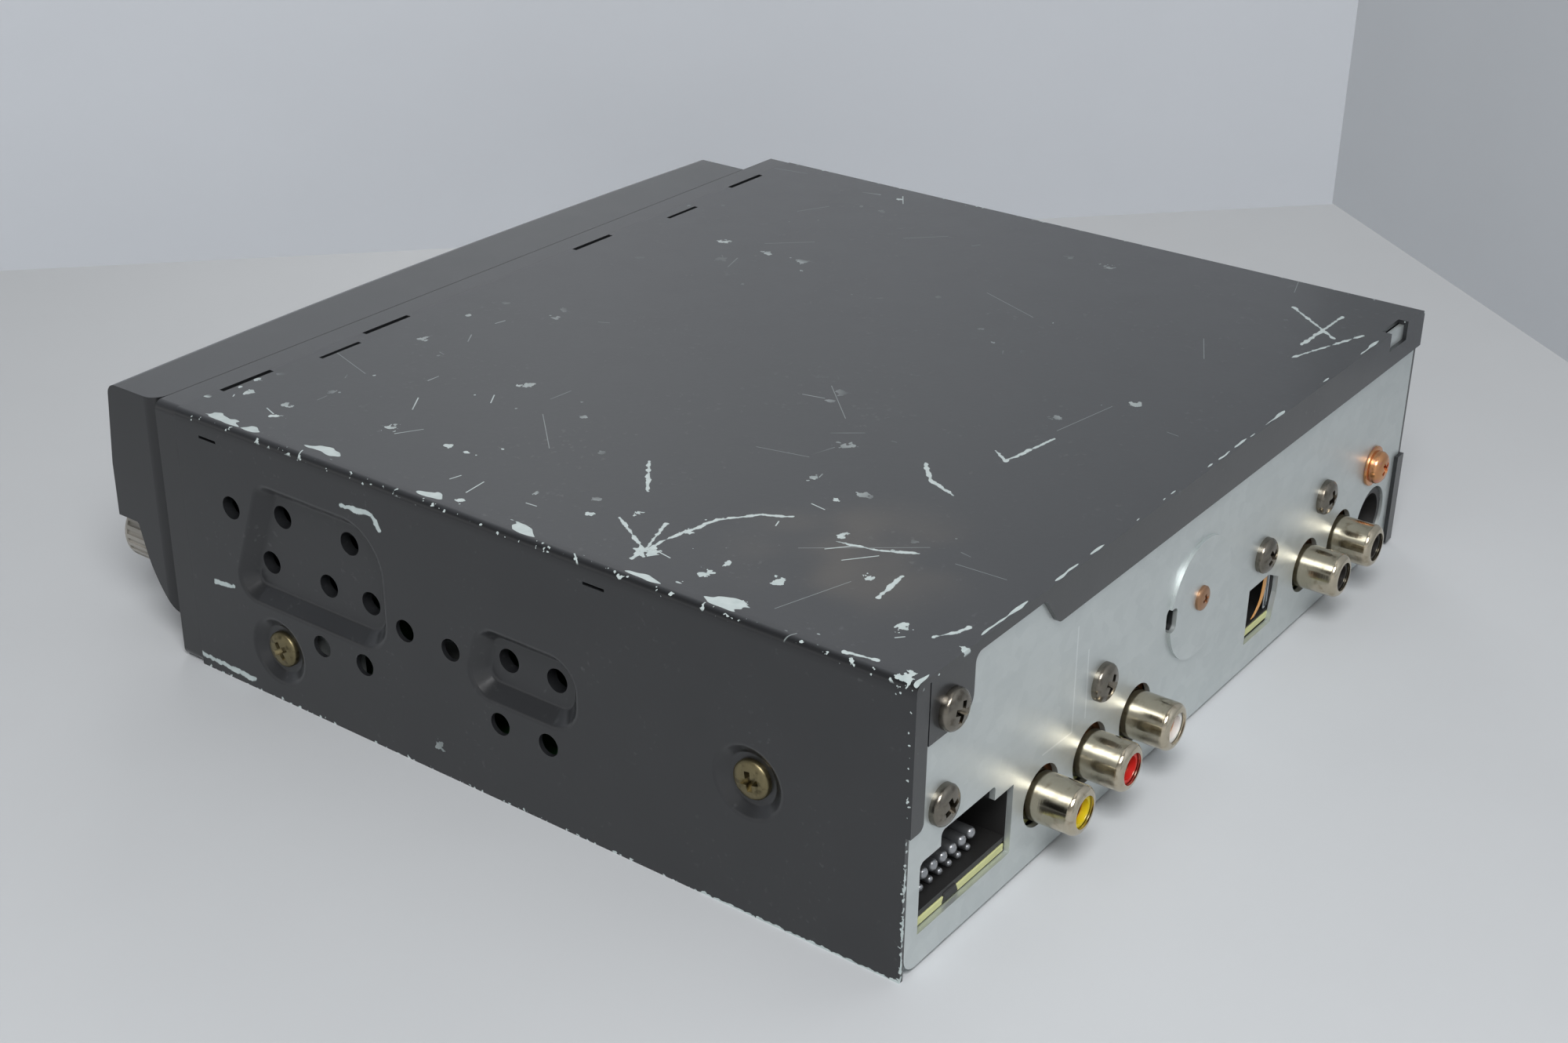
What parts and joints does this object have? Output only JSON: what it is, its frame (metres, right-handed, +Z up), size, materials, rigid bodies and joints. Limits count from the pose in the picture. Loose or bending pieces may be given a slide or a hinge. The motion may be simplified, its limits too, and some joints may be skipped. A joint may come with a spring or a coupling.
{
  "type": "car cd head unit",
  "caption": "One-high in-dash disc player with slot loading, detachable faceplate, phono jacks and power socket at the rear, and side mounting holes.",
  "frame": {"origin": "middle of the case's underside, halfway along its depth", "axes": "+X along the width, to the right of someone facing the front; +Y along the depth, out of the rear panel; +Z up"},
  "size_m": [0.178, 0.183, 0.05],
  "materials": {
    "cover_paint": "satin charcoal paint with worn edges",
    "galvanised": "galvanised sheet",
    "steel": "bright steel",
    "screw_steel": "dull passivated steel",
    "nickel": "dull nickel plate",
    "gold": "yellow passivated",
    "copper": "copper coloured",
    "front_plastic": "satin moulded",
    "key_plastic": "satin moulded",
    "knob_plastic": "satin grey-beige",
    "window": "smoked clear plastic",
    "display": "display glass and board",
    "black_plastic": "moulded",
    "brown_plastic": "moulded",
    "yellow_plastic": "moulded",
    "red_plastic": "moulded",
    "white_plastic": "moulded",
    "board": "lacquered circuit board",
    "can_black": "sleeved aluminium cans",
    "rubber": "moulded",
    "gear_plastic": "natural moulded",
    "motor_steel": "bright plated",
    "lens": "coated"
  },
  "bodies": {
    "case": {"top_cover": "cover_paint", "base_chassis": "galvanised", "rear_panel": "galvanised", "side_screws": "screw_steel", "rear_screws": "screw_steel", "boss_screw": "copper", "ground_bolt": "gold", "jack_shells": "nickel", "jack_contacts": "gold", "insert_yellow": "yellow_plastic", "insert_red": "red_plastic", "insert_white": "white_plastic", "insert_black": "black_plastic", "video_jack_block": "brown_plastic", "aux_jack_block": "brown_plastic", "power_socket": "black_plastic", "power_pins": "steel", "round_socket": "black_plastic", "switch_block": "black_plastic", "main_board": "board", "board_screws": "screw_steel", "capacitors": "can_black", "decoder_chip": "black_plastic", "mechanism_frame": "galvanised", "dampers": "rubber", "damper_screws": "screw_steel", "loading_motor": "motor_steel", "disc_guide": "black_plastic", "spindle_motor": "motor_steel", "guide_rods": "steel", "sled_motor": "motor_steel", "front_frame": "front_plastic"},
    "faceplate": {"faceplate_shell": "front_plastic", "faceplate_back": "front_plastic", "display_window": "window", "display_panel": "display"},
    "volume": {"volume_knob": "knob_plastic"},
    "source": {"source_key": "key_plastic"},
    "rocker": {"seek_rocker": "key_plastic"},
    "eject": {"eject_button": "key_plastic"},
    "release": {"release_button": "key_plastic"},
    "roller": {"loading_roller": "rubber", "roller_shaft": "steel", "roller_gear": "gear_plastic"},
    "idler": {"idler_gear": "gear_plastic"},
    "reduction": {"reduction_gear": "gear_plastic"},
    "pinion": {"motor_pinion": "gold"},
    "turntable": {"turntable": "black_plastic"},
    "clamp_arm": {"clamp_arm": "galvanised"},
    "clamp": {"clamp_disc": "black_plastic"},
    "sled": {"pickup_sled": "black_plastic", "pickup_lens": "lens"},
    "lead_screw": {"lead_screw": "steel"},
    "key_1": {"key_1": "key_plastic"},
    "key_2": {"key_2": "key_plastic"},
    "key_3": {"key_3": "key_plastic"},
    "key_4": {"key_4": "key_plastic"},
    "key_5": {"key_5": "key_plastic"},
    "key_6": {"key_6": "key_plastic"}
  },
  "joints": [
    {"name": "faceplate_swing", "type": "hinge", "parent": "case", "child": "faceplate", "pos_m": [0.0844, -0.0826, 0.025], "axis": [0, 0, 1], "range_deg": [0, 15]},
    {"name": "volume_turn", "type": "hinge", "parent": "faceplate", "child": "volume", "pos_m": [0.078, -0.095, 0.0166], "axis": [0, 1, 0], "continuous": true},
    {"name": "key_1_press", "type": "slide", "parent": "faceplate", "child": "key_1", "axis": [0, 1, 0], "range_m": [0, 0.0006], "stiffness_N_per_m": 300},
    {"name": "key_2_press", "type": "slide", "parent": "faceplate", "child": "key_2", "axis": [0, 1, 0], "range_m": [0, 0.0006], "stiffness_N_per_m": 300},
    {"name": "key_3_press", "type": "slide", "parent": "faceplate", "child": "key_3", "axis": [0, 1, 0], "range_m": [0, 0.0006], "stiffness_N_per_m": 300},
    {"name": "key_4_press", "type": "slide", "parent": "faceplate", "child": "key_4", "axis": [0, 1, 0], "range_m": [0, 0.0006], "stiffness_N_per_m": 300},
    {"name": "key_5_press", "type": "slide", "parent": "faceplate", "child": "key_5", "axis": [0, 1, 0], "range_m": [0, 0.0006], "stiffness_N_per_m": 300},
    {"name": "key_6_press", "type": "slide", "parent": "faceplate", "child": "key_6", "axis": [0, 1, 0], "range_m": [0, 0.0006], "stiffness_N_per_m": 300},
    {"name": "source_press", "type": "slide", "parent": "faceplate", "child": "source", "axis": [0, 1, 0], "range_m": [0, 0.0006], "stiffness_N_per_m": 300},
    {"name": "eject_press", "type": "slide", "parent": "faceplate", "child": "eject", "axis": [0, 1, 0], "range_m": [0, 0.0006], "stiffness_N_per_m": 300},
    {"name": "seek_tilt", "type": "hinge", "parent": "faceplate", "child": "rocker", "pos_m": [0.064, -0.0934, 0.0311], "axis": [0, 0, 1], "range_deg": [-3, 3], "stiffness_Nm_per_rad": 0.05},
    {"name": "release_press", "type": "slide", "parent": "case", "child": "release", "axis": [0, 1, 0], "range_m": [0, 0.0015], "stiffness_N_per_m": 400},
    {"name": "roller_turn", "type": "hinge", "parent": "case", "child": "roller", "pos_m": [0, -0.06, 0.0346], "axis": [1, 0, 0], "continuous": true},
    {"name": "idler_turn", "type": "hinge", "parent": "case", "child": "idler", "pos_m": [-0.07, -0.04866, 0.03341], "axis": [1, 0, 0], "continuous": true},
    {"name": "reduction_turn", "type": "hinge", "parent": "case", "child": "reduction", "pos_m": [-0.07, -0.03971, 0.03247], "axis": [1, 0, 0], "continuous": true},
    {"name": "motor_turn", "type": "hinge", "parent": "case", "child": "pinion", "pos_m": [-0.07, -0.02778, 0.03121], "axis": [1, 0, 0], "continuous": true},
    {"name": "turntable_turn", "type": "hinge", "parent": "case", "child": "turntable", "pos_m": [0, -0.01, 0.038], "axis": [0, 0, 1], "continuous": true},
    {"name": "clamp_lower", "type": "hinge", "parent": "case", "child": "clamp_arm", "pos_m": [0, 0.05, 0.0467], "axis": [1, 0, 0], "range_deg": [0, 2.3]},
    {"name": "clamp_turn", "type": "hinge", "parent": "clamp_arm", "child": "clamp", "pos_m": [0, -0.01, 0.0447], "axis": [0, 0, 1], "continuous": true},
    {"name": "sled_travel", "type": "slide", "parent": "case", "child": "sled", "axis": [1, 0, 0], "range_m": [0, 0.034]},
    {"name": "screw_turn", "type": "hinge", "parent": "case", "child": "lead_screw", "pos_m": [0, 0.02, 0.0304], "axis": [1, 0, 0], "range_deg": [0, 4081]}
  ],
  "couplings": [
    {"joint": "idler_turn", "follows": "roller_turn", "ratio": -0.9},
    {"joint": "reduction_turn", "follows": "roller_turn", "ratio": 1.8},
    {"joint": "motor_turn", "follows": "roller_turn", "ratio": -5.4},
    {"joint": "screw_turn", "follows": "sled_travel", "rad_per_m": 2094.4}
  ]
}
